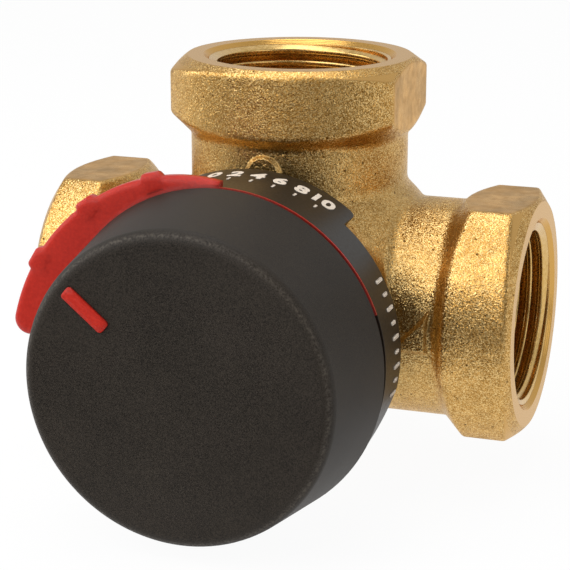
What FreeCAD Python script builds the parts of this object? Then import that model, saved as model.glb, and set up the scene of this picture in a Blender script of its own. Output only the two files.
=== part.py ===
import FreeCAD, Part
import os
from math import asin, cos, degrees, hypot, radians, sin, sqrt, tan

V = FreeCAD.Vector

# Driving dimensions, millimetres and degrees
# Ports
port_reach = 36.0
thread_bore = 26.44
thread_length = 15.0
thread_entry = 0.8
waterway_bore = 19.0
waterway_cone = 2.0
flat_wall = 3.53
flat_length = 18.2
face_bulge = 0.5
end_length = 7.9
end_corner_round = 2.0
end_rim_round = 0.8
end_taper_round = 1.0
neck_end_round = 1.4
end_chamfer_angle = 36.0
rim_inset = 0.4
neck_wall = 2.68
neck_fillet = 2.5
mark_reach = 21.5
mark_width = 4.2
mark_height = 0.5
mark_draft = 40.0

# Central body and its boss
shoulder_margin = 0.1
belly_step = 2.4
boss_wall = 1.9
boss_lip = 8.1
boss_fillet = 4.0
boss_chamfer = 0.6
back_land = 0.5
back_round = 4.5
chamber_margin = 5.5
chamber_end = 3.0
bonnet_ledge = 1.0
bonnet_step = 2.5
clip_groove_depth = 0.4
clip_groove_width = 1.0
clip_inset = 0.3
key_width = 4.0
key_depth = 1.4
key_length = 2.8

# Slide and its rear bearing
slide_wall = 2.4
slide_overlap_angle = 3.5
slide_web = 2.2
slide_hub_diameter = 12.0
pivot_diameter = 8.0
bush_wall = 1.5
bush_flange = 0.6
bush_flange_rim = 1.5
bush_length = 4.3
tang_thickness = 4.5
tang_width = 9.0
tang_length = 5.0

# Stem, its seals and insert
stem_diameter = 10.0
stem_flange_diameter = 16.0
stem_flange_length = 5.5
stem_tip_gap = 1.2
stem_flat_offset = 3.9
stem_flat_length = 16.0
stem_groove_depth = 1.5
stem_groove_width = 1.9
stem_groove_land = 0.7
insert_diameter = 5.6
insert_thread_bore = 3.3
insert_length = 8.0
washer_thickness = 1.0

# Bonnet, its seal and spring ring
bonnet_thickness = 7.0
bonnet_tower_diameter = 18.0
bonnet_tower_length = 4.0
bonnet_groove_depth = 1.75
bonnet_groove_width = 2.6
seal_side_play = 0.2
ring_thickness = 1.2
ring_groove_depth = 1.1
ring_width = 2.7
ring_opening = 50.0
ring_ear_length = 2.6
ring_ear_hole = 1.2

# Indicator collar
collar_wall = 2.0
skirt_gap = 0.7
collar_front_wall = 2.3
collar_depth = 5.0
tongue_depth = 10.3
tongue_span = 80.0
tongue_middle = 90.0
tongue_round = 1.2
skirt_cut_drop = 4.6
skirt_cut_slope = 40.0
socket_wall = 1.1
scale_spigot_diameter = 28.8
scale_spigot_wall = 1.2
scale_spigot_height = 1.1
stop_pocket_land = 1.0

# Position scale
scale_plate = 1.3
scale_plate_inset = 0.9
scale_rim_overhang = 0.4
scale_rim_thickness = 0.3
scale_rim_start_angle = 20.0
wedge_start_angle = 90.0
wedge_end_angle = 180.0
wedge_low = 0.5
wedge_rise = 7.4
wedge_thickness = 1.7
wedge_front_inset = 0.3
wedge_edge_round = 0.8
wedge_end_round = 2.2
spiral_points = 12
step_count = 3
step_height = 0.65
step_span = 7.5
step_slope = 1.25
step_depth = 2.2
step_proud = 0.15
step_sink = 0.25
step_corner_round = 0.6
step_edge_round = 0.7

# Knob and pointer
knob_height = 16.0
knob_overhang = 0.4
knob_draft = 8.2
knob_edge_round = 1.8
knob_wall = 2.0
knob_front_wall = 2.4
knob_base_chamfer = 0.3
knob_hub_diameter = 16.0
knob_rib_count = 6
knob_rib = 1.4
knob_rib_depth = 9.0
stop_lug_span = 20.0
stop_lug_lead_angle = 135.0
stop_play_angle = 1.0
pointer_rest_angle = 140.0
pointer_inner = 12.0
pointer_length = 7.1
pointer_width = 1.9
pointer_depth = 1.0
pointer_height = 0.45
pointer_corner = 0.5
pointer_edge = 0.25

# Clearances
running = 0.05
seat = 0.02
slip = 0.1
free_gap = 0.3

# Derived radii and stations; a station is a distance from the pipe axes towards the knob
thread_r = thread_bore / 2
waterway_r = waterway_bore / 2
neck_r = thread_r + neck_wall
flat_width = thread_bore + 2 * flat_wall
end_corner_r = hypot(flat_width, flat_length) / 2
taper_start = port_reach - end_length
taper_end = taper_start - (end_corner_r - neck_r)
neck_end = taper_end - neck_end_round * tan(radians(22.5))
chamber_r = waterway_r + chamber_margin
bonnet_r = chamber_r + bonnet_ledge
boss_r = bonnet_r + ring_groove_depth + boss_wall
fillet_corner = sqrt(2) * (neck_r + neck_fillet * (1 - sqrt(0.5)))
belly_r = boss_r + belly_step
shoulder_r = max(fillet_corner, belly_r) + shoulder_margin
socket_r = boss_r + slip
collar_r = socket_r + socket_wall + skirt_gap + collar_wall
scale_plate_r = collar_r - scale_plate_inset
scale_rim_r = collar_r + scale_rim_overhang
knob_base_r = collar_r + knob_overhang
spigot_r = scale_spigot_diameter / 2
stop_pocket_r = spigot_r - scale_spigot_wall - stop_pocket_land
stop_lug_r = stop_pocket_r - free_gap
stem_r = stem_diameter / 2
bush_r = pivot_diameter / 2 + running + bush_wall
chamber_back = waterway_r + chamber_end
slide_half_height = chamber_back - bush_flange - running
stem_inner = slide_half_height + free_gap
washer_rear = stem_inner + stem_flange_length + running
washer_front = washer_rear + washer_thickness
bonnet_seat = chamber_back + bonnet_step
bonnet_front = bonnet_seat + bonnet_thickness
tower_front = bonnet_front + bonnet_tower_length
boss_front = bonnet_front + boss_lip
collar_rear = boss_front - collar_depth
tongue_rear = boss_front - tongue_depth
collar_front = boss_front + collar_front_wall
clip_groove_rear = collar_rear + clip_inset
clip_groove_front = clip_groove_rear + clip_groove_width
scale_front = collar_front + scale_plate
knob_base = scale_front + free_gap
knob_front = knob_base + knob_height
stem_tip = knob_front - knob_front_wall - stem_tip_gap
hub_rear = boss_front + 2 * free_gap
wedge_span = wedge_end_angle - wedge_start_angle
wedge_middle = (wedge_start_angle + wedge_end_angle) / 2


def outline(start, *steps):
    """Closed wire of (radius, station) points; a pair of points is an arc's middle and end."""
    edges = []
    here = V(start[0], -start[1], 0)
    for step in steps + (start,):
        points = step if isinstance(step[0], tuple) else (step,)
        nodes = [V(r, -station, 0) for r, station in points]
        if (nodes[-1] - here).Length < 1e-7:
            continue
        if len(nodes) == 2:
            edges.append(Part.Arc(here, nodes[0], nodes[1]).toShape())
        else:
            edges.append(Part.LineSegment(here, nodes[0]).toShape())
        here = nodes[-1]
    return Part.Wire(edges)


def turned(*profile, angle=360.0, middle=0.0):
    """Solid turned about the stem axis; a part turn lies either side of the middle angle."""
    solid = Part.Face(outline(*profile)).revolve(V(0, 0, 0), V(0, -1, 0), angle)
    return swung(solid, middle - angle / 2) if angle < 360.0 else solid


def swung(shape, angle):
    """Copy turned about the stem axis, anticlockwise as seen from the knob."""
    copy = shape.copy()
    copy.rotate(V(0, 0, 0), V(0, -1, 0), angle)
    return copy


def ring(inner_r, outer_r, rear, front, **sweep):
    """Plain ring or disc between two stations."""
    return turned((inner_r, rear), (outer_r, rear), (outer_r, front), (inner_r, front), **sweep)


def block(x_low, x_high, half_width, rear, front):
    """Block along +X, centred on the XY plane."""
    size = (x_high - x_low, front - rear, 2 * half_width)
    return Part.makeBox(*size, V(x_low, -front, -half_width))


def arc_middle(centre, start, end):
    """Middle point of the short arc between two points of a circle."""
    radius = hypot(start[0] - centre[0], start[1] - centre[1])
    dx = start[0] + end[0] - 2 * centre[0]
    dy = start[1] + end[1] - 2 * centre[1]
    reach = radius / hypot(dx, dy)
    return (centre[0] + dx * reach, centre[1] + dy * reach)


def sphere_blend(sphere_r, radius, blend):
    """Fillet of a coaxial cylinder on a sphere: cylinder end, arc middle and sphere end."""
    centre = (radius + blend, sqrt((sphere_r + blend) ** 2 - (radius + blend) ** 2))
    share = sphere_r / (sphere_r + blend)
    on_sphere = (centre[0] * share, centre[1] * share)
    on_cylinder = (radius, centre[1])
    return on_cylinder, arc_middle(centre, on_cylinder, on_sphere), on_sphere


def seal_ring(inner_r, outer_r, rear, front):
    """O-ring pressed into a section with round rear and front ends."""
    bulge = (outer_r - inner_r) / 2
    middle = (inner_r + outer_r) / 2
    return turned(
        (inner_r, rear + bulge),
        ((middle, rear), (outer_r, rear + bulge)),
        (outer_r, front - bulge),
        ((middle, front), (inner_r, front - bulge)),
    )


def to_port(shape, side):
    """Copy of a shape made along the stem axis, laid along a port: -1 left, 0 top, 1 right."""
    copy = shape.copy()
    copy.rotate(V(0, 0, 0), V(1, 0, 0), -90)
    copy.rotate(V(0, 0, 0), V(0, 1, 0), 90 * side)
    return copy


# Valve body
def port_neck(sphere_r):
    """Round neck with its flare into a sphere."""
    on_neck, middle, on_sphere = sphere_blend(sphere_r, neck_r, neck_fillet)
    return turned((0, 0), on_sphere, (middle, on_neck), (neck_r, neck_end), (0, neck_end))


def port_end():
    """Port end with two wrench flats and two barrel faces, a chamfered rim and a taper to the neck."""
    rim_r = flat_width / 2 - rim_inset
    rim_start = port_reach - (end_corner_r - rim_r) * tan(radians(end_chamfer_angle))
    x = flat_width / 2
    z = flat_length / 2
    bulge = x + face_bulge
    edges = [
        Part.LineSegment(V(x, 0, -z), V(x, 0, z)).toShape(),
        Part.Arc(V(x, 0, z), V(0, 0, bulge), V(-x, 0, z)).toShape(),
        Part.LineSegment(V(-x, 0, z), V(-x, 0, -z)).toShape(),
        Part.Arc(V(-x, 0, -z), V(0, 0, -bulge), V(x, 0, -z)).toShape(),
    ]
    prism = Part.Face(Part.Wire(edges)).extrude(V(0, -port_reach, 0))
    corners = [edge for edge in prism.Edges if abs(edge.Length - port_reach) < 1e-6]
    prism = prism.makeFillet(end_corner_round, corners)
    on_neck = (neck_r, neck_end)
    along = (taper_end - neck_end) * sqrt(0.5)
    on_taper = (neck_r + along, taper_end + along)
    blend_middle = arc_middle((neck_r + neck_end_round, neck_end), on_neck, on_taper)
    envelope = turned(
        (0, neck_end),
        on_neck,
        (blend_middle, on_taper),
        (end_corner_r, taper_start),
        (end_corner_r, rim_start),
        (rim_r, port_reach),
        (0, port_reach),
    )
    solid = prism.common(envelope)
    creases = [edge for edge in solid.Edges if is_crease(edge, on_taper[1], taper_start)]
    solid = solid.makeFillet(end_taper_round, creases)
    creases = [edge for edge in solid.Edges if is_crease(edge, rim_start, port_reach)]
    return solid.makeFillet(end_rim_round, creases)


def is_crease(edge, rear, front):
    """True for an edge that runs round a port end between two stations."""
    stations = [-vertex.Point.y for vertex in edge.Vertexes]
    margin = end_rim_round / 100
    inside = min(stations) > rear - margin and max(stations) < front + margin
    return inside and rear + margin < -edge.CenterOfMass.y < front - margin


def port_bore():
    """Waterway, cone and thread bore, cut from the centre out through the port face."""
    thread_end = port_reach - thread_length
    return turned(
        (0, 0),
        (waterway_r, 0),
        (waterway_r, thread_end - waterway_cone),
        (thread_r, thread_end),
        (thread_r, port_reach - thread_entry),
        (thread_r + thread_entry, port_reach),
        (thread_r + thread_entry, port_reach + thread_entry),
        (0, port_reach + thread_entry),
    )


def port_mark(side):
    """Raised casting mark with drafted sides: square on the left neck, round top, triangle right."""
    half = mark_width / 2
    near = mark_reach - half
    far = mark_reach + half
    front = -neck_r - mark_height
    if side == 0:
        top = Part.Wire([Part.makeCircle(half, V(0, front, mark_reach), V(0, -1, 0))])
    elif side == 1:
        corners = [(far, half), (far, -half), (near, -half), (far, half)]
        top = Part.makePolygon([V(x, front, z) for x, z in corners])
    else:
        corners = [(near, -half), (far, -half), (far, half), (near, half), (near, -half)]
        top = Part.makePolygon([V(-x, front, z) for x, z in corners])
    depth = 2 * mark_height
    base = top.makeOffset2D(depth * tan(radians(mark_draft)), 2)
    base.translate(V(0, depth, 0))
    return Part.makeLoft([base, top], True, True)


def body_core(sphere_r):
    """Barrel along the stem axis with a sphere blended into it around the pipe axes."""
    blend = sphere_blend(sphere_r, boss_r, boss_fillet)
    on_boss, middle, on_sphere = blend
    rear_on_boss, rear_middle, rear_on_sphere = [(r, -station) for r, station in blend]
    back_start = sphere_blend(shoulder_r, boss_r, boss_fillet)[0][1] + back_land
    back_depth = back_start + back_round
    back_edge = (boss_r - back_round, -back_depth)
    back_centre = (boss_r - back_round, -back_start)
    return turned(
        (0, boss_front),
        (boss_r - boss_chamfer, boss_front),
        (boss_r, boss_front - boss_chamfer),
        on_boss,
        (middle, on_sphere),
        ((sphere_r, 0), rear_on_sphere),
        (rear_middle, rear_on_boss),
        (boss_r, -back_start),
        (arc_middle(back_centre, (boss_r, -back_start), back_edge), back_edge),
        (0, -back_depth),
    )


def valve_body():
    """Casting with a full shoulder between its three ports and a slimmer belly below them."""
    sides = (-1, 0, 1)
    belly, shoulder = [
        body_core(sphere_r).fuse([to_port(port_neck(sphere_r), side) for side in sides])
        for sphere_r in (belly_r, shoulder_r)
    ]
    reach = 2 * port_reach
    upper = Part.makeBox(2 * reach, 2 * reach, reach, V(-reach, -reach, 0))
    body = belly.fuse(shoulder.common(upper))
    body = body.fuse([to_port(port_end(), side) for side in sides] + [port_mark(side) for side in sides])
    ring_front = bonnet_front + ring_thickness + slip
    ring_groove_r = bonnet_r + ring_groove_depth
    chamber = turned(
        (0, -chamber_back),
        (chamber_r, -chamber_back),
        (chamber_r, bonnet_seat),
        (bonnet_r, bonnet_seat),
        (bonnet_r, bonnet_front),
        (ring_groove_r, bonnet_front),
        (ring_groove_r, ring_front),
        (bonnet_r, ring_front),
        (bonnet_r, boss_front - boss_chamfer),
        (bonnet_r + boss_chamfer, boss_front),
        (0, boss_front),
    )
    pivot_hole = ring(0, bush_r + seat, -chamber_back - bush_length - seat, -chamber_back)
    clip_groove = ring(
        boss_r - clip_groove_depth,
        boss_r + clip_groove_depth,
        clip_groove_rear,
        clip_groove_front,
    )
    key_rear = boss_front - key_length
    key_slot = block(boss_r - key_depth, boss_r + key_depth, key_width / 2, key_rear, boss_front)
    cuts = [chamber, pivot_hole, clip_groove, swung(key_slot, -90)]
    cuts += [to_port(port_bore(), side) for side in sides]
    return body.cut(cuts).removeSplitter()


# Slide and its rear bush
def rotor_slide():
    """Slide made with its middle on +X; it stands a quarter turn behind the pointer."""
    outer_r = chamber_r - running
    half_angle = degrees(asin(waterway_r / chamber_r)) + slide_overlap_angle
    span = {"angle": 2 * half_angle, "middle": 0.0}
    hub_r = slide_hub_diameter / 2
    pivot_r = pivot_diameter / 2
    web_inner = slide_half_height - slide_web
    segment = ring(outer_r - slide_wall, outer_r, -slide_half_height, slide_half_height, **span)
    pieces = []
    for rear in (-slide_half_height, web_inner):
        pieces.append(ring(0, outer_r, rear, rear + slide_web, **span))
        pieces.append(ring(0, hub_r, rear, rear + slide_web))
    pieces.append(ring(0, pivot_r, -chamber_back - bush_length + free_gap, -web_inner))
    tang_front = slide_half_height + tang_length
    pieces.append(block(-tang_width / 2, tang_width / 2, tang_thickness / 2, web_inner, tang_front))
    return swung(segment.fuse(pieces).removeSplitter(), pointer_rest_angle - 90)


def rear_bush():
    bore_r = pivot_diameter / 2 + running
    flange_r = bush_r + bush_flange_rim
    return turned(
        (bore_r, -chamber_back - bush_length),
        (bush_r, -chamber_back - bush_length),
        (bush_r, -chamber_back),
        (flange_r, -chamber_back),
        (flange_r, -chamber_back + bush_flange),
        (bore_r, -chamber_back + bush_flange),
    )


# Stem with its insert, seals and washer
def groove_rear(index):
    """Rear station of a stem seal groove, counted from the bonnet's inner end."""
    return washer_front + stem_groove_land + index * (stem_groove_width + stem_groove_land)


def stem():
    """Stem made with its flat facing +X."""
    flange_r = stem_flange_diameter / 2
    flange_front = stem_inner + stem_flange_length
    shaft = ring(0, flange_r, stem_inner, flange_front).fuse(ring(0, stem_r, flange_front, stem_tip))
    tang_socket = block(
        -tang_width / 2 - running,
        tang_width / 2 + running,
        tang_thickness / 2 + running,
        stem_inner,
        slide_half_height + tang_length + free_gap,
    )
    flat = block(stem_flat_offset, stem_diameter, stem_diameter, stem_tip - stem_flat_length, stem_tip)
    insert_hole = ring(0, insert_diameter / 2 + seat, stem_tip - insert_length - free_gap, stem_tip)
    cuts = [swung(tang_socket, -90), flat, insert_hole]
    for index in (0, 1):
        rear = groove_rear(index)
        cuts.append(ring(stem_r - stem_groove_depth, stem_diameter, rear, rear + stem_groove_width))
    return swung(shaft.cut(cuts), pointer_rest_angle)


def stem_insert():
    return ring(insert_thread_bore / 2, insert_diameter / 2, stem_tip - insert_length, stem_tip)


def stem_seal(index):
    rear = groove_rear(index)
    return seal_ring(stem_r - stem_groove_depth, stem_r, rear + slip, rear + stem_groove_width - slip)


def thrust_washer():
    inner_r = stem_r + free_gap
    return ring(inner_r, stem_flange_diameter / 2, washer_rear, washer_front)


# Bonnet with its seal and spring ring
def bonnet_groove_rear():
    return bonnet_seat + (bonnet_thickness - bonnet_groove_width) / 2


def bonnet():
    plug_r = bonnet_r - running
    recess_r = stem_flange_diameter / 2 + free_gap
    bore_r = stem_r + running
    tower_r = bonnet_tower_diameter / 2
    groove_r = plug_r - bonnet_groove_depth
    groove_front = bonnet_groove_rear() + bonnet_groove_width
    return turned(
        (recess_r, bonnet_seat),
        (plug_r, bonnet_seat),
        (plug_r, bonnet_groove_rear()),
        (groove_r, bonnet_groove_rear()),
        (groove_r, groove_front),
        (plug_r, groove_front),
        (plug_r, bonnet_front),
        (tower_r, bonnet_front),
        (tower_r, tower_front),
        (bore_r, tower_front),
        (bore_r, washer_front),
        (recess_r, washer_front),
    )


def bonnet_seal():
    inner_r = bonnet_r - running - bonnet_groove_depth
    rear = bonnet_groove_rear()
    front = rear + bonnet_groove_width
    return seal_ring(inner_r, bonnet_r - seat, rear + seal_side_play, front - seal_side_play)


def retaining_ring():
    """Open spring ring with two drilled ears; the opening is at the top."""
    outer_r = bonnet_r + ring_groove_depth - seat
    inner_r = outer_r - ring_width
    front = bonnet_front + ring_thickness
    hoop = ring(inner_r, outer_r, bonnet_front, front, angle=360.0 - ring_opening, middle=270.0)
    ear_r = ring_width / 2 + ring_ear_length / 2
    ear_reach = outer_r - ear_r - ring_groove_depth
    tilt = ring_opening / 2 + degrees(ear_r / ear_reach)
    for angle in (90.0 - tilt, 90.0 + tilt):
        centre = V(ear_reach * cos(radians(angle)), -bonnet_front, ear_reach * sin(radians(angle)))
        ear = Part.makeCylinder(ear_r, ring_thickness, centre, V(0, -1, 0))
        hole = Part.makeCylinder(ring_ear_hole / 2, ring_thickness, centre, V(0, -1, 0))
        hoop = hoop.fuse(ear).cut(hole)
    return hoop.removeSplitter()


# Collar with its tongue and end stops
def indicator_collar():
    inner_r = collar_r - collar_wall
    bead_r = boss_r - clip_groove_depth + slip
    skirt = ring(inner_r, collar_r, collar_rear, boss_front)
    tongue = ring(inner_r, collar_r, tongue_rear, boss_front, angle=tongue_span, middle=tongue_middle)
    corners = [edge for edge in tongue.Edges if is_tongue_corner(edge)]
    tongue = tongue.makeFillet(tongue_round, corners)
    front = ring(0, collar_r, boss_front, collar_front)
    socket = ring(socket_r, socket_r + socket_wall, clip_groove_rear, boss_front)
    bead = ring(bead_r, socket_r, clip_groove_rear + slip, clip_groove_front - slip)
    spigot = ring(spigot_r - scale_spigot_wall, spigot_r, collar_front, collar_front + scale_spigot_height)
    key = block(
        boss_r - key_depth + slip,
        socket_r,
        key_width / 2 - slip,
        boss_front - key_length + slip,
        boss_front,
    )
    hub_hole = ring(0, knob_hub_diameter / 2 + free_gap, boss_front, collar_front)
    pocket = ring(
        0,
        stop_pocket_r,
        boss_front,
        collar_front,
        angle=wedge_span + stop_lug_span + 2 * stop_play_angle,
        middle=wedge_middle + stop_lug_lead_angle,
    )
    collar = front.fuse([skirt.cut(skirt_cut()), tongue, socket, bead, spigot, swung(key, -90)])
    return collar.cut([hub_hole, pocket]).removeSplitter()


def skirt_cut():
    """Space below a slanting plane, cut from the bottom of the collar's skirt."""
    reach = 2 * collar_r
    end_drop = skirt_cut_drop + collar_depth / tan(radians(skirt_cut_slope))
    corners = [
        V(-reach, -collar_rear, -skirt_cut_drop),
        V(-reach, -boss_front, -end_drop),
        V(-reach, -boss_front, -reach),
        V(-reach, -collar_rear, -reach),
        V(-reach, -collar_rear, -skirt_cut_drop),
    ]
    return Part.Face(Part.makePolygon(corners)).extrude(V(2 * reach, 0, 0))


def is_tongue_corner(edge):
    """True for the short radial edges at a tongue's rear corners."""
    straight = isinstance(edge.Curve, Part.Line) and abs(edge.Length - collar_wall) < 1e-6
    return straight and abs(edge.CenterOfMass.y + tongue_rear) < 1e-6


# Red scale: plate, rim and growing wedge with steps
def wedge_radius(angle):
    """Outer radius of the wedge, growing evenly with the angle."""
    return scale_rim_r + wedge_low + wedge_rise * (angle - wedge_start_angle) / wedge_span


def polar(radius, angle, station):
    return V(radius * cos(radians(angle)), -station, radius * sin(radians(angle)))


def wedge_block(inner_r, rear, front):
    """Spiral block from the scale's thin end to its thick end."""
    curve = Part.BSplineCurve()
    angles = [wedge_start_angle + wedge_span * i / spiral_points for i in range(spiral_points + 1)]
    curve.interpolate([polar(wedge_radius(angle), angle, rear) for angle in angles])
    inner = Part.Arc(
        polar(inner_r, wedge_end_angle, rear),
        polar(inner_r, wedge_middle, rear),
        polar(inner_r, wedge_start_angle, rear),
    )
    ends = [
        Part.LineSegment(polar(wedge_radius(angle), angle, rear), polar(inner_r, angle, rear)).toShape()
        for angle in (wedge_start_angle, wedge_end_angle)
    ]
    wire = Part.Wire(Part.__sortEdges__([curve.toShape(), inner.toShape()] + ends))
    return Part.Face(wire).extrude(V(0, rear - front, 0))


def wedge_step(angle, rear, front):
    """Step that stands out of the wedge's outside and front, with sloping ends and round edges."""
    inner_r = wedge_radius(angle) - step_depth
    low = step_span / 2
    high = low - step_slope
    corners = [
        polar(inner_r, angle - low, rear),
        polar(wedge_radius(angle - low) - step_sink, angle - low, rear),
        polar(wedge_radius(angle - high) + step_height, angle - high, rear),
        polar(wedge_radius(angle + high) + step_height, angle + high, rear),
        polar(wedge_radius(angle + low) - step_sink, angle + low, rear),
        polar(inner_r, angle + low, rear),
        polar(inner_r, angle - low, rear),
    ]
    step = Part.Face(Part.makePolygon(corners)).extrude(V(0, rear - front, 0))
    uprights = [edge for edge in step.Edges if is_step_corner(edge, wedge_radius(angle) + step_height / 2)]
    step = step.makeFillet(step_corner_round, uprights)
    edges = [edge for edge in step.Edges if abs(edge.CenterOfMass.y + front) < 1e-6]
    return step.makeFillet(step_edge_round, edges)


def is_step_corner(edge, radius):
    """True for an edge along the stem axis that lies outside the radius."""
    along = abs(edge.tangentAt(edge.FirstParameter).y) > 0.99
    return along and hypot(edge.CenterOfMass.x, edge.CenterOfMass.z) > radius


def is_outer_front(edge, radius, front):
    """True for an edge on the front face that lies outside the radius."""
    centre = edge.CenterOfMass
    return abs(centre.y + front) < 1e-6 and hypot(centre.x, centre.z) > radius


def position_scale():
    bore_r = spigot_r + slip
    wedge_front = scale_front - wedge_front_inset
    wedge_rear = wedge_front - wedge_thickness
    plate = ring(bore_r, scale_plate_r, collar_front, scale_front)
    rim_span = wedge_end_angle - scale_rim_start_angle
    rim_middle = (wedge_end_angle + scale_rim_start_angle) / 2
    rim_rear = scale_front - scale_rim_thickness
    rim = ring(bore_r, scale_rim_r, rim_rear, scale_front, angle=rim_span, middle=rim_middle)
    wedge = wedge_block(collar_r + slip, wedge_rear, wedge_front)
    corner = [edge for edge in wedge.Edges if is_thick_corner(edge)]
    wedge = wedge.makeFillet(wedge_end_round, corner)
    outer = [edge for edge in wedge.Edges if is_outer_front(edge, scale_rim_r + wedge_low, wedge_front)]
    wedge = wedge.makeFillet(wedge_edge_round, outer)
    bridge = ring(
        scale_plate_r - scale_plate,
        scale_rim_r + wedge_low / 2,
        collar_front,
        wedge_front,
        angle=wedge_span,
        middle=wedge_middle,
    )
    pitch = wedge_span / (step_count + 1)
    angles = [wedge_start_angle + pitch * (i + 1) for i in range(step_count)]
    steps = [wedge_step(angle, wedge_rear, wedge_front + step_proud) for angle in angles]
    return plate.fuse([rim, wedge, bridge] + steps).removeSplitter()


def is_thick_corner(edge):
    """True for the wedge's outer corner at its thick end."""
    corner = polar(wedge_radius(wedge_end_angle), wedge_end_angle, 0)
    centre = edge.CenterOfMass
    return hypot(centre.x - corner.x, centre.z - corner.z) < 1e-6


# Knob and its pointer
def knob_side_r(station):
    """Outside radius of the knob's drafted side."""
    return knob_base_r - (station - knob_base) * tan(radians(knob_draft))


def knob_shell():
    draft = radians(knob_draft)
    blend_station = knob_front - knob_edge_round
    blend_r = knob_side_r(blend_station) - knob_edge_round / cos(draft)
    side_end = (blend_r + knob_edge_round * cos(draft), blend_station + knob_edge_round * sin(draft))
    face_start = (blend_r, knob_front)
    blend_middle = arc_middle((blend_r, blend_station), side_end, face_start)
    inside_front = knob_front - knob_front_wall
    return turned(
        (0, knob_front),
        face_start,
        (blend_middle, side_end),
        (knob_side_r(knob_base + knob_base_chamfer), knob_base + knob_base_chamfer),
        (knob_side_r(knob_base) - knob_base_chamfer, knob_base),
        (knob_side_r(knob_base) - knob_wall, knob_base),
        (knob_side_r(inside_front) - knob_wall, inside_front),
        (0, inside_front),
    )


def knob():
    """Knob made with its pointer along +X."""
    inside_front = knob_front - knob_front_wall
    hub_r = knob_hub_diameter / 2
    rib_rear = inside_front - knob_rib_depth
    rib_reach = knob_side_r(inside_front) - knob_wall / 2
    hub = ring(0, hub_r, hub_rear, inside_front)
    lug_sweep = {"angle": stop_lug_span, "middle": stop_lug_lead_angle}
    lug = ring(0, stop_lug_r, hub_rear, collar_front + free_gap, **lug_sweep)
    rib = block(0, rib_reach, knob_rib / 2, rib_rear, inside_front)
    ribs = [swung(rib, 360.0 * (i + 0.5) / knob_rib_count) for i in range(knob_rib_count)]
    socket = ring(0, stem_r + seat, hub_rear, stem_tip + free_gap)
    flat = block(stem_flat_offset + seat, stem_diameter, stem_diameter, hub_rear, stem_tip + free_gap)
    pocket = pointer_block(seat, knob_front - pointer_depth, knob_front + pointer_height)
    solid = knob_shell().fuse([hub, lug] + ribs).cut([socket.cut(flat), pocket])
    return swung(solid.removeSplitter(), pointer_rest_angle)


def pointer_block(margin, rear, front):
    """Pointer's outline along +X, grown by a margin."""
    outer = pointer_inner + pointer_length + margin
    solid = block(pointer_inner - margin, outer, pointer_width / 2 + margin, rear, front)
    corners = [edge for edge in solid.Edges if abs(edge.Length - (front - rear)) < 1e-6]
    return solid.makeFillet(pointer_corner, corners)


def pointer_bar():
    front = knob_front + pointer_height
    bar = pointer_block(0.0, knob_front - pointer_depth, front)
    top = [edge for edge in bar.Edges if abs(edge.CenterOfMass.y + front) < 1e-6]
    return swung(bar.makeFillet(pointer_edge, top), pointer_rest_angle)


pieces = {
    "valve_body": valve_body(),
    "rotor_slide": rotor_slide(),
    "rear_bush": rear_bush(),
    "stem": stem(),
    "stem_insert": stem_insert(),
    "stem_seal_inner": stem_seal(0),
    "stem_seal_outer": stem_seal(1),
    "thrust_washer": thrust_washer(),
    "bonnet": bonnet(),
    "bonnet_seal": bonnet_seal(),
    "retaining_ring": retaining_ring(),
    "indicator_collar": indicator_collar(),
    "position_scale": position_scale(),
    "knob": knob(),
    "pointer_bar": pointer_bar(),
}

os.makedirs("parts", exist_ok=True)
for name, shape in pieces.items():
    shape.exportStep(f"parts/{name}.step")
    print(f"{name}: {len(shape.Solids)} solid, {shape.Volume / 1000:.3f} cm3, valid {shape.isValid()}")
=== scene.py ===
from math import cos, pi, radians, sin, tau

import bpy
from mathutils import Matrix, Vector


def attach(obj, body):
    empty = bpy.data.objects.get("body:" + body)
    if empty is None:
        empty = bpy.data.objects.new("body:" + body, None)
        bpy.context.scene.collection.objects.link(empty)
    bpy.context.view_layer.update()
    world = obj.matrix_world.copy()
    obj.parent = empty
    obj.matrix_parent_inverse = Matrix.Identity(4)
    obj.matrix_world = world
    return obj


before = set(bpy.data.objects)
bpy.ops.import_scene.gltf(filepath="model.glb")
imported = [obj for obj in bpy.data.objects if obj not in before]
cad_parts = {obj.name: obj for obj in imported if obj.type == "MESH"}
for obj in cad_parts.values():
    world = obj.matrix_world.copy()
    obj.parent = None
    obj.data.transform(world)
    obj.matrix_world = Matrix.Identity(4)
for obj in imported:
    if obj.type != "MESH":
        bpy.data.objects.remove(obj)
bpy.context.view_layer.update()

MM = 0.001

# Sizes shared with the valve's solids
PORT_REACH = 36.0 * MM
CHAMBER_REACH = 8.0 * MM
THREAD_MOUTH = 35.2 * MM
THREAD_END = 21.2 * MM
THREAD_ROOT = 13.26 * MM
THREAD_CREST = 12.08 * MM
THREAD_PITCH = 1.814 * MM
ENTRY_RADIUS = 14.06 * MM
RIM_SLOPE = 0.7265
RIM_RADIUS = 16.35 * MM
CORNER_RADIUS = 17.6 * MM
FLAT_HALF = 16.75 * MM
FLAT_START = 24.0 * MM
MARK_REACH = 21.5 * MM
MARK_SPREAD = 3.6 * MM
MARK_FRONT = -14.5 * MM
COLLAR_RADIUS = 22.9 * MM
KNOB_FRONT = 50.0 * MM
KNOB_FACE_RADIUS = 21.0 * MM
FLOOR_HEIGHT = -23.6 * MM

# How far a finish reaches past the face that it belongs to
SPARE = 0.04 * MM
RIM_CONE = PORT_REACH + RIM_RADIUS * RIM_SLOPE - SPARE

# Sockets of a Mix node, which keeps one set for numbers and one for colours
SHARE = 0
NUMBER_A, NUMBER_B = 2, 3
COLOUR_A, COLOUR_B = 6, 7
COLOUR_RESULT = 2

# Rays of the Bevel nodes, which round edges in the shading, and of the nodes that find shade
BEVEL_SAMPLES = 8
SHADE_SAMPLES = 6


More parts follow.
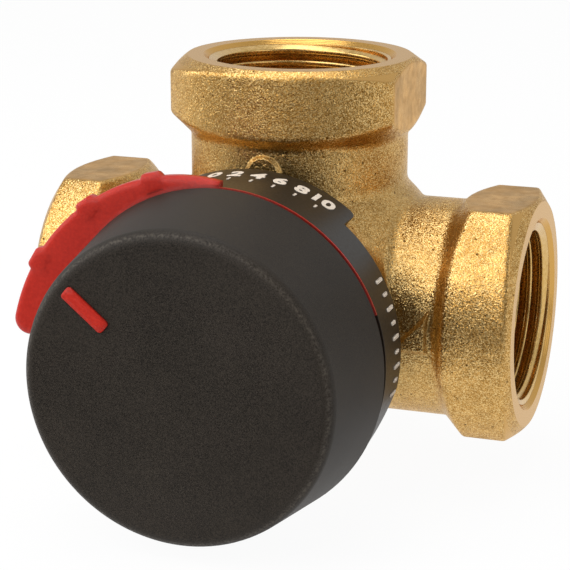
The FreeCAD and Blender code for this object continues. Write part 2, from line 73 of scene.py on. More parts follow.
# Colours and node trees
def colour(code):
    """Linear colour of an sRGB hex code."""
    channels = []
    for start in (1, 3, 5):
        value = int(code[start:start + 2], 16) / 255
        channels.append(value / 12.92 if value <= 0.04045 else ((value + 0.055) / 1.055) ** 2.4)
    return (*channels, 1.0)


def add(tree, kind, sockets, **settings):
    """Node with its settings; a socket gets a value, or a link where that is a node's output."""
    node = tree.nodes.new("ShaderNode" + kind)
    for name, value in settings.items():
        setattr(node, name, value)
    for name, value in sockets.items():
        if isinstance(value, bpy.types.NodeSocket):
            tree.links.new(value, node.inputs[name])
        else:
            node.inputs[name].default_value = value
    return node


def empty_material(name):
    """Material without nodes, and its node tree."""
    material = bpy.data.materials.new(name)
    material.use_nodes = True
    material.node_tree.nodes.clear()
    return material, material.node_tree


def per_metre(size_mm):
    """Pattern scale that gives features of a size in millimetres."""
    return 1.0 / (size_mm * MM)


# Patterns of the casting: widths in millimetres, and how strongly each one shapes the surface
DENT_MM = 0.11
DENT_SLOPE = 0.32
FINE_MM = 0.27
FINE_HEIGHT = 0.8
LUMP_MM = 1.3
LUMP_HEIGHT = 0.7
WAVE_MM = 5.0
PIT_SPACING_MM = 1.7
PIT_HEIGHT = -0.8
RING_MM = 0.4
RING_HEIGHT = 0.06
BLOTCH_MM = 4.0
CAST_RELIEF = 0.085 * MM
FLAT_SMOOTHING = 0.88
FOLD_ROUND = 0.8 * MM
CRISP_ROUND = 0.2 * MM
# Reach of the painted shade in creases
CREASE_SHADE_REACH = 7.0 * MM
TURNED_ROUGHNESS = 0.26
STAINED_ROUGHNESS = 0.36


def cast_brass():
    """Sand-cast brass, shot-blasted: warm and sparkling, with dents, gas pits and darker stains.

    The port faces, rim chamfers and bores are turned: brighter and smoother, with fine tool rings.
    The wrench flats are milled, so their grain is faint and brown blotches show on them.
    """
    material, tree = empty_material("cast_brass_shot_blasted_turned_ports")
    place = add(tree, "TexCoord", {}).outputs["Object"]
    split = add(tree, "SeparateXYZ", {0: place}).outputs
    side_reach = add(tree, "Math", {0: split["X"]}, operation="ABSOLUTE").outputs[0]
    side_width = add(tree, "Math", {0: split["Z"]}, operation="ABSOLUTE").outputs[0]
    # Each port's way outwards, its way towards the flats, and the axes of its round section
    ports = ((side_reach, side_width, (0, 1, 1)), (split["Z"], side_reach, (1, 1, 0)))
    machined = []
    bores = []
    milled = []
    tool_way = []
    marks = []
    for reach, width, across in ports:
        flat = add(tree, "VectorMath", {0: place, 1: across}, operation="MULTIPLY").outputs[0]
        radius = add(tree, "VectorMath", {0: flat}, operation="LENGTH").outputs["Value"]
        on_face = add(
            tree, "Math", {0: reach, 1: PORT_REACH - SPARE / 2}, operation="GREATER_THAN"
        ).outputs[0]
        cone = add(
            tree, "Math", {0: radius, 1: RIM_SLOPE, 2: reach}, operation="MULTIPLY_ADD"
        ).outputs[0]
        on_cone = add(tree, "Math", {0: cone, 1: RIM_CONE}, operation="GREATER_THAN").outputs[0]
        at_corner = add(
            tree, "Math", {0: radius, 1: CORNER_RADIUS}, operation="GREATER_THAN"
        ).outputs[0]
        on_cone = add(tree, "Math", {0: on_cone, 1: at_corner}, operation="MULTIPLY").outputs[0]
        on_face = add(tree, "Math", {0: on_face, 1: on_cone}, operation="MAXIMUM").outputs[0]
        in_bore = add(
            tree, "Math", {0: radius, 1: ENTRY_RADIUS}, operation="LESS_THAN"
        ).outputs[0]
        past_chamber = add(
            tree, "Math", {0: reach, 1: CHAMBER_REACH}, operation="GREATER_THAN"
        ).outputs[0]
        bore = add(tree, "Math", {0: in_bore, 1: past_chamber}, operation="MULTIPLY").outputs[0]
        bores.append(bore)
        machined.append(add(tree, "Math", {0: on_face, 1: bore}, operation="MAXIMUM").outputs[0])
        tool_way.append(add(tree, "Math", {0: radius, 1: reach}, operation="ADD").outputs[0])
        on_flat = add(
            tree, "Math", {0: width, 1: FLAT_HALF - SPARE}, operation="GREATER_THAN"
        ).outputs[0]
        past_neck = add(
            tree, "Math", {0: reach, 1: FLAT_START}, operation="GREATER_THAN"
        ).outputs[0]
        milled.append(
            add(tree, "Math", {0: on_flat, 1: past_neck}, operation="MULTIPLY").outputs[0]
        )
        along = add(
            tree, "Math", {0: reach, 1: MARK_REACH, 2: MARK_SPREAD}, operation="COMPARE"
        ).outputs[0]
        beside = add(tree, "Math", {0: width, 1: MARK_SPREAD}, operation="LESS_THAN").outputs[0]
        marks.append(add(tree, "Math", {0: along, 1: beside}, operation="MULTIPLY").outputs[0])
    turned = add(tree, "Math", {0: machined[0], 1: machined[1]}, operation="MAXIMUM").outputs[0]
    bored = add(tree, "Math", {0: bores[0], 1: bores[1]}, operation="MAXIMUM").outputs[0]
    flats = add(tree, "Math", {0: milled[0], 1: milled[1]}, operation="MAXIMUM").outputs[0]
    way = add(
        tree,
        "Mix",
        {SHARE: machined[1], NUMBER_A: tool_way[0], NUMBER_B: tool_way[1]},
        data_type="FLOAT",
    ).outputs[0]
    # Tool rings are near 0.15 mm on the real part, drawn at 0.4 mm so that they show
    phase = add(
        tree, "Math", {0: way, 1: tau * per_metre(RING_MM)}, operation="MULTIPLY"
    ).outputs[0]
    rings = add(tree, "Math", {0: phase}, operation="SINE").outputs[0]
    rings = add(
        tree, "Math", {0: rings, 1: RING_HEIGHT, 2: 0.5}, operation="MULTIPLY_ADD"
    ).outputs[0]

    # Each shot leaves a dent with its own slope and tone, which makes the sparkle
    dent = add(
        tree, "TexVoronoi", {"Vector": place, "Scale": per_metre(DENT_MM)}
    ).outputs["Color"]
    dent_tone = add(tree, "SeparateXYZ", {0: dent}).outputs["X"]
    rest = add(
        tree, "Math", {0: flats, 1: -FLAT_SMOOTHING, 2: 1.0}, operation="MULTIPLY_ADD"
    ).outputs[0]
    blasted = add(
        tree, "Mix", {SHARE: turned, NUMBER_A: rest, NUMBER_B: 0.0}, data_type="FLOAT"
    ).outputs[0]
    fine = add(
        tree, "TexNoise", {"Vector": place, "Scale": per_metre(FINE_MM), "Detail": 1.0}
    ).outputs["Fac"]
    lumps = add(
        tree, "TexNoise", {"Vector": place, "Scale": per_metre(LUMP_MM), "Detail": 2.0}
    ).outputs["Fac"]
    waves = add(
        tree, "TexNoise", {"Vector": place, "Scale": per_metre(WAVE_MM), "Detail": 3.0}
    ).outputs["Fac"]
    # Gas pits of the casting, up to 0.4 mm wide and a few millimetres apart
    pit_way = add(
        tree, "TexVoronoi", {"Vector": place, "Scale": per_metre(PIT_SPACING_MM)}
    ).outputs["Distance"]
    pit = add(
        tree,
        "MapRange",
        {"Value": pit_way, "From Min": 0.05, "From Max": 0.13, "To Min": 1.0, "To Max": 0.0},
    ).outputs[0]
    pit = add(tree, "Math", {0: pit, 1: blasted}, operation="MULTIPLY").outputs[0]
    height = waves
    for pattern, share in ((fine, FINE_HEIGHT), (lumps, LUMP_HEIGHT), (pit, PIT_HEIGHT)):
        height = add(
            tree, "Math", {0: pattern, 1: share, 2: height}, operation="MULTIPLY_ADD"
        ).outputs[0]
    height = add(tree, "Math", {0: height, 1: rest}, operation="MULTIPLY").outputs[0]
    height = add(
        tree, "Mix", {SHARE: turned, NUMBER_A: height, NUMBER_B: rings}, data_type="FLOAT"
    ).outputs[0]
    # Turned edges and the casting marks on the front of the necks are crisper than the folds
    marked = add(tree, "Math", {0: marks[0], 1: marks[1]}, operation="MAXIMUM").outputs[0]
    in_front = add(tree, "Math", {0: split["Y"], 1: MARK_FRONT}, operation="LESS_THAN").outputs[0]
    marked = add(tree, "Math", {0: marked, 1: in_front}, operation="MULTIPLY").outputs[0]
    crisp = add(tree, "Math", {0: turned, 1: marked}, operation="MAXIMUM").outputs[0]
    edge = add(
        tree, "Mix", {SHARE: crisp, NUMBER_A: FOLD_ROUND, NUMBER_B: CRISP_ROUND}, data_type="FLOAT"
    ).outputs[0]
    rounded = add(tree, "Bevel", {"Radius": edge}, samples=BEVEL_SAMPLES).outputs[0]
    bump = add(
        tree,
        "Bump",
        {"Strength": 1.0, "Distance": CAST_RELIEF, "Height": height, "Normal": rounded},
    ).outputs[0]
    slope = add(tree, "VectorMath", {0: dent, 1: (-0.5, -0.5, -0.5)}, operation="ADD").outputs[0]
    steepness = add(tree, "Math", {0: blasted, 1: DENT_SLOPE}, operation="MULTIPLY").outputs[0]
    slope = add(tree, "VectorMath", {0: slope, "Scale": steepness}, operation="SCALE").outputs[0]
    facing = add(tree, "VectorMath", {0: bump, 1: slope}, operation="ADD").outputs[0]
    facing = add(tree, "VectorMath", {0: facing}, operation="NORMALIZE").outputs[0]

    stain = add(tree, "Math", {0: waves, 1: lumps}, operation="MULTIPLY").outputs[0]
    stain = add(tree, "MapRange", {"Value": stain, "From Min": 0.10, "From Max": 0.36}).outputs[0]
    glint = add(
        tree,
        "MapRange",
        {"Value": dent_tone, "From Min": 0.5, "From Max": 1.0, "To Min": 0.0, "To Max": 0.85},
    ).outputs[0]
    glint = add(tree, "Math", {0: glint, 1: blasted}, operation="MULTIPLY").outputs[0]
    speck = add(
        tree,
        "MapRange",
        {"Value": dent_tone, "From Min": 0.0, "From Max": 0.55, "To Min": 0.62, "To Max": 0.0},
    ).outputs[0]
    speck = add(tree, "Math", {0: speck, 1: blasted}, operation="MULTIPLY").outputs[0]
    speck = add(tree, "Math", {0: speck, 1: pit}, operation="MAXIMUM").outputs[0]
    # Hands and tools leave soft brown blotches near 4 mm wide on the smooth flats
    blotch = add(
        tree, "TexNoise", {"Vector": place, "Scale": per_metre(BLOTCH_MM), "Detail": 2.0}
    ).outputs["Fac"]
    blotch = add(
        tree,
        "MapRange",
        {"Value": blotch, "From Min": 0.36, "From Max": 0.70, "To Min": 0.0, "To Max": 0.5},
    ).outputs[0]
    blotch = add(tree, "Math", {0: blotch, 1: flats}, operation="MULTIPLY").outputs[0]
    # Creases are mixed towards a dull olive brown where little of the room reaches: painted shade,
    # and the dull skin that blasting and handling wear off elsewhere
    open_share = add(
        tree,
        "AmbientOcclusion",
        {"Distance": CREASE_SHADE_REACH},
        samples=SHADE_SAMPLES,
        only_local=True,
    ).outputs["AO"]
    crease_shade = add(
        tree,
        "MapRange",
        {"Value": open_share, "From Min": 0.75, "From Max": 0.98, "To Min": 0.42, "To Max": 0.0},
    ).outputs[0]
    tone = add(
        tree,
        "Mix",
        {SHARE: stain, COLOUR_A: colour("#B78844"), COLOUR_B: colour("#D8A65B")},
        data_type="RGBA",
    ).outputs[COLOUR_RESULT]
    layers = (
        (glint, "#F6D898"),
        (speck, "#6E4E1F"),
        (blotch, "#7C5F30"),
        # Painted shade in the creases
        (crease_shade, "#857C58"),
        (turned, "#CDA260"),
        (bored, "#D0A258"),
    )
    for share, code in layers:
        tone = add(
            tree,
            "Mix",
            {SHARE: share, COLOUR_A: tone, COLOUR_B: colour(code)},
            data_type="RGBA",
        ).outputs[COLOUR_RESULT]
    gloss = add(
        tree,
        "MapRange",
        {"Value": stain, "To Min": STAINED_ROUGHNESS, "To Max": TURNED_ROUGHNESS},
    ).outputs[0]
    gloss = add(
        tree,
        "Mix",
        {SHARE: turned, NUMBER_A: gloss, NUMBER_B: TURNED_ROUGHNESS},
        data_type="FLOAT",
    ).outputs[0]
    surface = add(
        tree,
        "BsdfPrincipled",
        {
            "Base Color": tone,
            "Metallic": 1.0,
            "Roughness": gloss,
            "Specular Tint": colour("#FCF3E4"),
            "Normal": facing,
        },
    )
    add(tree, "OutputMaterial", {"Surface": surface.outputs[0]})
    return material


# Slow changes of tone in the moulded and turned materials, and the shade in their gaps
PATCH_MM = 9.0
PATCH_SHARE = 0.15
GAP_REACH = 1.5 * MM
ROUGHNESS_SPREAD = 0.05


def grained_material(
    name, dark, light, rough, grain_mm, depth_mm, metal=0.0, shine=0.5, edge_mm=0.15, gap_shade=0.0
):
    """Material with a fine even grain and slow changes of tone."""
    material, tree = empty_material(name)
    place = add(tree, "TexCoord", {}).outputs["Object"]
    grain = add(
        tree,
        "TexNoise",
        {"Vector": place, "Scale": per_metre(grain_mm), "Detail": 2.0, "Roughness": 0.55},
    ).outputs["Fac"]
    patch = add(
        tree, "TexNoise", {"Vector": place, "Scale": per_metre(PATCH_MM), "Detail": 2.0}
    ).outputs["Fac"]
    share = add(
        tree, "Math", {0: patch, 1: PATCH_SHARE, 2: grain}, operation="MULTIPLY_ADD"
    ).outputs[0]
    share = add(tree, "MapRange", {"Value": share, "From Min": 0.35, "From Max": 0.8}).outputs[0]
    tone = add(
        tree,
        "Mix",
        {SHARE: share, COLOUR_A: colour(dark), COLOUR_B: colour(light)},
        data_type="RGBA",
    ).outputs[COLOUR_RESULT]
    if gap_shade:
        # Gaps between pieces are darkened: painted shade, with some dust
        open_share = add(
            tree, "AmbientOcclusion", {"Distance": GAP_REACH}, samples=SHADE_SAMPLES
        ).outputs["AO"]
        shade = add(
            tree,
            "MapRange",
            {
                "Value": open_share,
                "From Min": 0.25,
                "From Max": 0.75,
                "To Min": gap_shade,
                "To Max": 0.0,
            },
        ).outputs[0]
        tone = add(
            tree,
            "Mix",
            {SHARE: shade, COLOUR_A: tone, COLOUR_B: colour("#120C08")},
            data_type="RGBA",
        ).outputs[COLOUR_RESULT]
    gloss = add(
        tree,
        "MapRange",
        {
            "Value": grain,
            "From Min": 0.3,
            "From Max": 0.7,
            "To Min": rough - ROUGHNESS_SPREAD,
            "To Max": rough + ROUGHNESS_SPREAD,
        },
    ).outputs[0]
    rounded = add(tree, "Bevel", {"Radius": edge_mm * MM}, samples=BEVEL_SAMPLES).outputs[0]
    bump = add(
        tree,
        "Bump",
        {"Strength": 1.0, "Distance": depth_mm * MM, "Height": grain, "Normal": rounded},
    ).outputs[0]
    surface = add(
        tree,
        "BsdfPrincipled",
        {
            "Base Color": tone,
            "Metallic": metal,
            "Roughness": gloss,
            "Specular IOR Level": shine,
            "Normal": bump,
        },
    )
    add(tree, "OutputMaterial", {"Surface": surface.outputs[0]})
    return material


# Paler line along the knob's front edge: wear, and a painted highlight
WEAR_SPECK_MM = 0.35
WEAR_CORE = 0.1 * MM
WEAR_END = 0.8 * MM
WEAR_AND_HIGHLIGHT_SHARE = 0.38


def worn_and_lit_edge(material, worn_and_lit_tone, rough):
    """Thin broken line along the knob's front edge, glossier where hands polish it, and paler: wear
    and a painted highlight on the rounded edge.
    """
    tree = material.node_tree
    surface = next(node for node in tree.nodes if node.type == "BSDF_PRINCIPLED")
    place = add(tree, "TexCoord", {}).outputs["Object"]
    flat = add(tree, "VectorMath", {0: place, 1: (1, 0, 1)}, operation="MULTIPLY").outputs[0]
    radius = add(tree, "VectorMath", {0: flat}, operation="LENGTH").outputs["Value"]
    station = add(tree, "SeparateXYZ", {0: place}).outputs["Y"]
    # Along the rounded edge both the radius and the depth behind the face grow
    way = add(tree, "Math", {0: radius, 1: station}, operation="ADD").outputs[0]
    way = add(
        tree, "Math", {0: way, 1: KNOB_FACE_RADIUS - KNOB_FRONT}, operation="SUBTRACT"
    ).outputs[0]
    way = add(tree, "Math", {0: way}, operation="ABSOLUTE").outputs[0]
    line = add(
        tree,
        "MapRange",
        {"Value": way, "From Min": WEAR_CORE, "From Max": WEAR_END, "To Min": 1.0, "To Max": 0.0},
    ).outputs[0]
    specks = add(
        tree, "TexNoise", {"Vector": place, "Scale": per_metre(WEAR_SPECK_MM), "Detail": 2.0}
    ).outputs["Fac"]
    specks = add(tree, "MapRange", {"Value": specks, "From Min": 0.4, "From Max": 0.65}).outputs[0]
    wear_and_highlight = add(tree, "Math", {0: line, 1: specks}, operation="MULTIPLY").outputs[0]
    wear_and_highlight = add(tree, "Math", {0: wear_and_highlight, 1: WEAR_AND_HIGHLIGHT_SHARE}, operation="MULTIPLY").outputs[0]
    plain_tone = surface.inputs["Base Color"].links[0].from_socket
    tone = add(
        tree,
        "Mix",
        {SHARE: wear_and_highlight, COLOUR_A: plain_tone, COLOUR_B: colour(worn_and_lit_tone)},
        data_type="RGBA",
    ).outputs[COLOUR_RESULT]
    tree.links.new(tone, surface.inputs["Base Color"])
    plain_rough = surface.inputs["Roughness"].links[0].from_socket
    gloss = add(
        tree, "Mix", {SHARE: wear_and_highlight, NUMBER_A: plain_rough, NUMBER_B: rough}, data_type="FLOAT"
    ).outputs[0]
    tree.links.new(gloss, surface.inputs["Roughness"])


# Turned brass, bright and smooth, with faint tool chatter
turned_brass = grained_material(
    "turned_brass", "#CBA35C", "#DFBC7C", rough=0.24, grain_mm=0.5, depth_mm=0.004, metal=1.0
)
# Spark-eroded mould finish: near black, matt, with a fine even grain
charcoal_nylon = grained_material(
    "glass_filled_nylon_spark_grained",
    "#0F0B07",
    "#3A332B",
    rough=0.55,
    grain_mm=0.13,
    depth_mm=0.02,
    shine=0.2,
    gap_shade=0.6,
)
# Paler front edge of the knob: wear, and a painted highlight
worn_and_lit_edge(charcoal_nylon, "#645C52", rough=0.3)
# Satin mould finish: black with a soft sheen
black_abs = grained_material(
    "black_abs_satin_moulded",
    "#1A150F",
    "#262019",
    rough=0.40,
    grain_mm=0.4,
    depth_mm=0.006,
    shine=0.3,
)
# Satin mould finish: strong warm red with a soft sheen along its rounded edges
red_abs = grained_material(
    "red_abs_satin_moulded",
    "#A81909",
    "#BB230F",
    rough=0.36,
    grain_mm=0.4,
    depth_mm=0.008,
    shine=0.28,
    edge_mm=1.6,
    gap_shade=0.8,
)
# Glass-filled plastic of the inner pieces: dull grey with short fibres at the surface
grey_pps = grained_material(
    "glass_filled_pps_moulded", "#3E4043", "#55585B", rough=0.5, grain_mm=0.3, depth_mm=0.01
)
# Rubber O-rings: black and dull
nitrile_rubber = grained_material(
    "nitrile_rubber_moulded", "#0E0E0F", "#18181A", rough=0.6, grain_mm=0.4, depth_mm=0.008
)
# Stamped spring steel: grey and smooth
spring_steel = grained_material(
    "spring_steel_stamped", "#8D8F91", "#A7A9AB", rough=0.3, grain_mm=0.4, depth_mm=0.004, metal=1.0
)
# Pad-printed ink: flat cream, slightly uneven
cream_ink = grained_material(
    "cream_pad_print_ink",
    "#DCCDBB",
    "#EDE1D2",
    rough=0.5,
    grain_mm=0.3,
    depth_mm=0.003,
    edge_mm=0.02,
)

node_materials = {
    "valve_body": cast_brass(),
    "rotor_slide": turned_brass,
    "stem_insert": turned_brass,
    "rear_bush": grey_pps,
    "stem": grey_pps,
    "thrust_washer": grey_pps,
    "bonnet": grey_pps,
    "stem_seal_inner": nitrile_rubber,
    "stem_seal_outer": nitrile_rubber,
    "bonnet_seal": nitrile_rubber,
    "retaining_ring": spring_steel,
    "indicator_collar": black_abs,
    "position_scale": red_abs,
    "knob": charcoal_nylon,
    "pointer_bar": red_abs,
}
for node_name, node_material in node_materials.items():
    node_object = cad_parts[node_name]
    node_object.data.materials.clear()
    node_object.data.materials.append(node_material)


# New pieces
def finish_piece(piece, name, material):
    """Name, material and body of a finished piece."""
    piece.name = name
    piece.data.name = name
    piece.data.materials.clear()
    piece.data.materials.append(material)
    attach(piece, "valve")


def select_vertices(mesh, test):
    """Selects, in edit mode, the vertices whose place passes the test."""
    bpy.ops.object.mode_set(mode="OBJECT")
    for polygon in mesh.polygons:
        polygon.select = False
    for edge in mesh.edges:
        edge.select = False
    for vertex in mesh.vertices:
        vertex.select = test(vertex.co)
    bpy.ops.object.mode_set(mode="EDIT")


# Plug that trims the thread: it reaches into the wall, and its funnel follows the port's entry
PLUG_SIDES = 96
PLUG_SPARE = 0.4 * MM
FUNNEL_WIDTH = 3.0 * MM
FUNNEL_SLOPE = 0.42

# Thread ridge: widths as shares of the pitch, and turns enough to pass both ends of the plug
TOOTH_BASE = 0.96
TOOTH_TIP = 0.34
TOOTH_ROUND = 0.16 * MM
THREAD_TURNS = 10
TURN_STEPS = 72
WELD = 0.002 * MM
SMOOTH_ANGLE = 35.0


def thread_room():
    """Round plug along +Z with a funnel mouth, as far as the thread may reach."""
    bpy.ops.object.select_all(action="DESELECT")
    top = THREAD_MOUTH + PLUG_SPARE
    bpy.ops.mesh.primitive_cylinder_add(
        vertices=PLUG_SIDES,
        radius=THREAD_ROOT + PLUG_SPARE,
        depth=top - THREAD_END,
        location=(0, 0, (top + THREAD_END) / 2),
    )
    plug = bpy.context.object
    bpy.ops.object.transform_apply(location=True)
    bpy.ops.object.mode_set(mode="EDIT")
    bpy.ops.mesh.select_mode(type="FACE")
    bpy.ops.mesh.select_all(action="DESELECT")
    bpy.ops.object.mode_set(mode="OBJECT")
    for face in plug.data.polygons:
        face.select = face.normal.z > 0.9
    bpy.ops.object.mode_set(mode="EDIT")
    bpy.ops.mesh.inset(thickness=FUNNEL_WIDTH, depth=-FUNNEL_SLOPE * FUNNEL_WIDTH)
    bpy.ops.object.mode_set(mode="OBJECT")
    return plug


def pipe_thread():
    """Ridge of a parallel pipe thread along +Z: a tooth swept by a screw, trimmed at both ends."""
    plug = thread_room()
    bpy.ops.object.select_all(action="DESELECT")
    start = THREAD_END - THREAD_PITCH
    depth = THREAD_ROOT - THREAD_CREST
    middle = (THREAD_ROOT + THREAD_CREST) / 2
    bpy.ops.mesh.primitive_plane_add(size=1.0, location=(0, 0, 0), rotation=(pi / 2, 0, 0))
    ridge = bpy.context.object
    bpy.ops.object.transform_apply(rotation=True)
    bpy.ops.object.mode_set(mode="EDIT")
    bpy.ops.mesh.select_mode(type="VERT")
    bpy.ops.mesh.select_all(action="SELECT")
    bpy.ops.transform.resize(value=(depth, 1.0, TOOTH_BASE * THREAD_PITCH))
    bpy.ops.transform.translate(value=(middle, 0, start))
    select_vertices(ridge.data, lambda place: place.x < middle)
    bpy.ops.transform.resize(value=(1.0, 1.0, TOOTH_TIP), center_override=(middle, 0, start))
    bpy.ops.mesh.bevel(offset=TOOTH_ROUND, segments=3, affect="VERTICES")
    bpy.ops.mesh.select_all(action="SELECT")
    bpy.ops.mesh.delete(type="ONLY_FACE")
    bpy.ops.object.mode_set(mode="OBJECT")
    screw = ridge.modifiers.new("screw", "SCREW")
    screw.axis = "Z"
    screw.angle = tau
    screw.screw_offset = THREAD_PITCH
    screw.iterations = THREAD_TURNS
    screw.steps = screw.render_steps = TURN_STEPS
    bpy.ops.object.modifier_apply(modifier=screw.name)
    # The two open ends are closed, and the ridge is trimmed to the room that the port leaves
    bpy.ops.object.mode_set(mode="EDIT")
    bpy.ops.mesh.select_all(action="SELECT")
    bpy.ops.mesh.remove_doubles(threshold=WELD)
    bpy.ops.mesh.select_all(action="DESELECT")
    bpy.ops.mesh.select_mode(type="EDGE")
    bpy.ops.mesh.select_non_manifold()
    bpy.ops.mesh.edge_face_add()
    bpy.ops.mesh.select_all(action="SELECT")
    bpy.ops.mesh.normals_make_consistent(inside=False)
    bpy.ops.object.mode_set(mode="OBJECT")
    trim = ridge.modifiers.new("trim", "BOOLEAN")
    trim.operation = "INTERSECT"
    trim.object = plug
    bpy.ops.object.modifier_apply(modifier=trim.name)
    bpy.data.objects.remove(plug)
    bpy.ops.object.shade_smooth_by_angle(angle=radians(SMOOTH_ANGLE))
    return ridge


def turned_copy(piece, turn):
    """Copy of a piece with its own mesh, turned about the origin."""
    bpy.ops.object.select_all(action="DESELECT")
    piece.select_set(True)
    bpy.context.view_layer.objects.active = piece
    bpy.ops.object.duplicate()
    copy = bpy.context.object
    copy.rotation_euler = turn
    bpy.ops.object.transform_apply(rotation=True)
    return copy


thread_top = pipe_thread()
threads = {
    "thread_top": thread_top,
    "thread_right": turned_copy(thread_top, (0, pi / 2, 0)),
    "thread_left": turned_copy(thread_top, (0, -pi / 2, 0)),
}
for thread_name, thread in threads.items():
    finish_piece(thread, thread_name, turned_brass)

# Print on the collar: flat plates of ink, mostly sunk into the round wall; angles in degrees
INK = 0.14 * MM
SUNK = 0.02 * MM
STROKE = 0.13 * MM
NUMBER_SIZE = 3.8 * MM
NUMBER_WELD = 0.001 * MM
NUMBER_STATION = 23.5 * MM
NUMBER_COUNT = 6
NUMBER_START, NUMBER_STEP = 101.0, 8.0
SCALE_TICK_STATION = 26.5 * MM
SCALE_TICK_LENGTH, SCALE_TICK_WIDTH = 1.1 * MM, 0.35 * MM
SIDE_TICK_STATION = 27.2 * MM
SIDE_TICK_LONG, SIDE_TICK_SHORT, SIDE_TICK_WIDTH = 2.4 * MM, 1.5 * MM, 0.5 * MM
SIDE_TICK_COUNT = 9
SIDE_TICK_START, SIDE_TICK_STEP = 28.0, 5.0
TICK_ROUND = 0.45


def on_collar(angle, station):
    """Matrix of a print on the collar: X clockwise along the wall, Y to the rear, Z outwards."""
    turn = radians(angle)
    outwards = Vector((cos(turn), 0, sin(turn)))
    along = Vector((sin(turn), 0, -cos(turn)))
    rearwards = Vector((0, 1, 0))
    matrix = Matrix((along, rearwards, outwards)).transposed().to_4x4()
    matrix.translation = outwards * (COLLAR_RADIUS - SUNK) + Vector((0, -station, 0))
    return matrix


def placed(piece, matrix):
    """Puts a piece's place into its mesh."""
    piece.matrix_world = matrix
    bpy.ops.object.select_all(action="DESELECT")
    piece.select_set(True)
    bpy.context.view_layer.objects.active = piece
    bpy.ops.object.transform_apply(location=True, rotation=True, scale=True)
    return piece


def printed_tick(length, width):
    """Flat bar with rounded ends, centred on its middle."""
    bpy.ops.object.select_all(action="DESELECT")
    bpy.ops.mesh.primitive_cube_add(size=1.0)
    tick = bpy.context.object
    bpy.ops.object.mode_set(mode="EDIT")
    bpy.ops.mesh.select_mode(type="EDGE")
    bpy.ops.mesh.select_all(action="SELECT")
    bpy.ops.transform.resize(value=(width, length, INK))
    bpy.ops.object.mode_set(mode="OBJECT")
    for edge in tick.data.edges:
        first, second = [tick.data.vertices[index].co for index in edge.vertices]
        edge.select = abs(first.z - second.z) > INK / 2
    bpy.ops.object.mode_set(mode="EDIT")
    bpy.ops.mesh.bevel(offset=TICK_ROUND * width, segments=3)
    bpy.ops.object.mode_set(mode="OBJECT")
    return tick


def printed_number(text):
    """Numeral as a thin plate, centred on its middle."""
    bpy.ops.object.select_all(action="DESELECT")
    bpy.ops.object.text_add()
    number = bpy.context.object
    number.data.body = text
    number.data.size = NUMBER_SIZE
    number.data.align_x = "CENTER"
    number.data.align_y = "CENTER"
    number.data.offset = STROKE
    number.data.extrude = INK / 2
    number.data.resolution_u = 4
    bpy.ops.object.convert(target="MESH")
    number = bpy.context.object
    bpy.ops.object.mode_set(mode="EDIT")
    bpy.ops.mesh.select_all(action="SELECT")
    bpy.ops.mesh.remove_doubles(threshold=NUMBER_WELD)
    bpy.ops.object.mode_set(mode="OBJECT")
    return number


def joined(pieces):
    """One object of several pieces."""
    bpy.ops.object.select_all(action="DESELECT")
    for piece in pieces:
        piece.select_set(True)
    bpy.context.view_layer.objects.active = pieces[0]
    bpy.ops.object.join()
    return bpy.context.object


prints = []
for step in range(NUMBER_COUNT):
    angle = NUMBER_START - NUMBER_STEP * step
    number = printed_number(str(2 * step))
    prints.append(placed(number, on_collar(angle, NUMBER_STATION)))
    tick = printed_tick(SCALE_TICK_LENGTH, SCALE_TICK_WIDTH)
    prints.append(placed(tick, on_collar(angle, SCALE_TICK_STATION)))
for step in range(SIDE_TICK_COUNT):
    angle = SIDE_TICK_START - SIDE_TICK_STEP * step
    tick = printed_tick(SIDE_TICK_SHORT if step % 2 else SIDE_TICK_LONG, SIDE_TICK_WIDTH)
    prints.append(placed(tick, on_collar(angle, SIDE_TICK_STATION)))
finish_piece(joined(prints), "collar_print", cream_ink)

# Floor of white paper, which is seen as white but keeps the valve's shadow
FLOOR_SIZE = 6.0
WHITE_SHARE = 0.95
bpy.ops.object.select_all(action="DESELECT")
bpy.ops.mesh.primitive_plane_add(size=FLOOR_SIZE, location=(0, 0, FLOOR_HEIGHT))
floor = bpy.context.object
floor.name = "floor"
floor_material, floor_tree = empty_material("white_paper_floor")
rays = add(floor_tree, "LightPath", {}).outputs
seen = rays["Is Camera Ray"]
for ray in ("Is Glossy Ray", "Is Transmission Ray"):
    seen = add(floor_tree, "Math", {0: seen, 1: rays[ray]}, operation="MAXIMUM").outputs[0]
seen = add(floor_tree, "Math", {0: seen, 1: WHITE_SHARE}, operation="MULTIPLY").outputs[0]
paper = add(floor_tree, "BsdfDiffuse", {"Color": colour("#F4F4F4")}).outputs[0]
white = add(floor_tree, "Emission", {"Color": colour("#FFFFFF"), "Strength": 1.0}).outputs[0]
shown = add(floor_tree, "MixShader", {0: seen, 1: paper, 2: white}).outputs[0]
add(floor_tree, "OutputMaterial", {"Surface": shown})
floor.data.materials.append(floor_material)

# Dark card on the camera's side, out of the picture, for the brass and the knob to mirror: seen
# only in reflections, it is a painted reflection of the shaded floor in front of the valve
CARD_WIDTH, CARD_DEPTH = 1.4, 0.13
CARD_PLACE = (0, -0.135, FLOOR_HEIGHT + 1.0 * MM)
bpy.ops.object.select_all(action="DESELECT")
bpy.ops.mesh.primitive_plane_add(size=1.0, location=CARD_PLACE)
card = bpy.context.object
card.name = "shade_mirror_card"
bpy.ops.object.mode_set(mode="EDIT")
bpy.ops.transform.resize(value=(CARD_WIDTH, CARD_DEPTH, 1.0))
bpy.ops.object.mode_set(mode="OBJECT")
card.visible_camera = False
card.visible_diffuse = False
card.visible_shadow = False
card_material, card_tree = empty_material("shade_reflection_card")
mirrored_shade = add(card_tree, "BsdfDiffuse", {"Color": colour("#3A3733")}).outputs[0]
add(card_tree, "OutputMaterial", {"Surface": mirrored_shade})
card.data.materials.append(card_material)

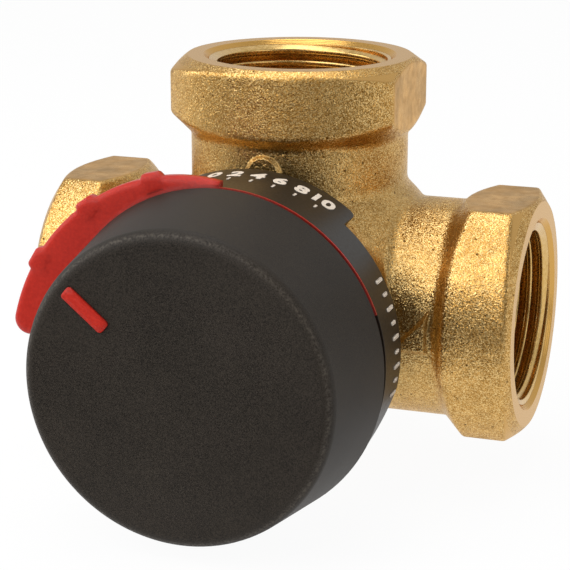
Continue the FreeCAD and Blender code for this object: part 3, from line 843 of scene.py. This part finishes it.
# The room is bright behind the valve, where the white paper hangs, and dim on the camera's side
DIM_ROOM, BRIGHT_ROOM = 0.25, 0.75
ROOM_BLEND = 0.6
world = bpy.data.worlds.new("studio")
world.use_nodes = True
room_tree = world.node_tree
room_tree.nodes.clear()
way_out = add(room_tree, "TexCoord", {}).outputs["Generated"]
rearwards = add(room_tree, "SeparateXYZ", {0: way_out}).outputs["Y"]
brightness = add(
    room_tree,
    "MapRange",
    {
        "Value": rearwards,
        "From Min": -ROOM_BLEND,
        "From Max": ROOM_BLEND,
        "To Min": DIM_ROOM,
        "To Max": BRIGHT_ROOM,
    },
).outputs[0]
room = add(
    room_tree, "Background", {"Color": colour("#FFFFFF"), "Strength": brightness}
).outputs[0]
add(room_tree, "OutputWorld", {"Surface": room})
bpy.context.scene.world = world


def softbox(name, place, size, power):
    """Square area lamp aimed at the valve."""
    lamp = bpy.data.lights.new(name, "AREA")
    lamp.size = size
    lamp.energy = power
    holder = bpy.data.objects.new(name, lamp)
    bpy.context.collection.objects.link(holder)
    holder.location = place
    holder.rotation_mode = "QUATERNION"
    holder.rotation_quaternion = (-Vector(place)).to_track_quat("-Z", "Y")


softbox("front_light", place=(-0.17, -0.38, 0.36), size=0.50, power=2.05)
softbox("top_light", place=(-0.05, 0.05, 0.50), size=0.30, power=0.8)
softbox("left_light", place=(-0.45, -0.10, 0.20), size=0.30, power=0.7)
softbox("right_light", place=(0.50, -0.15, 0.20), size=0.30, power=0.25)

# Camera fitted to the valve's outlines in the photograph: angles in radians, lens in millimetres
CAMERA_DISTANCE = 285.1256 * MM
AZIMUTH = 0.323847622
ELEVATION = 0.279108296
ROLL = 0.00355324
SENSOR_WIDTH = 36.0
LENS = 119.66
SHIFT_X, SHIFT_Y = -0.0250, 0.0114
backwards = Vector(
    (sin(AZIMUTH) * cos(ELEVATION), -cos(AZIMUTH) * cos(ELEVATION), sin(ELEVATION))
)
sideways = Vector((cos(AZIMUTH), sin(AZIMUTH), 0))
right = sideways * cos(ROLL) + backwards.cross(sideways) * sin(ROLL)
camera_data = bpy.data.cameras.new("camera")
camera_data.sensor_width = SENSOR_WIDTH
camera_data.lens = LENS
camera_data.shift_x = SHIFT_X
camera_data.shift_y = SHIFT_Y
camera_data.clip_start = 10.0 * MM
camera = bpy.data.objects.new("camera", camera_data)
bpy.context.collection.objects.link(camera)
camera.matrix_world = Matrix((right, backwards.cross(right), backwards)).transposed().to_4x4()
camera.location = backwards * CAMERA_DISTANCE
bpy.context.scene.camera = camera
bpy.context.scene.view_settings.view_transform = "Standard"
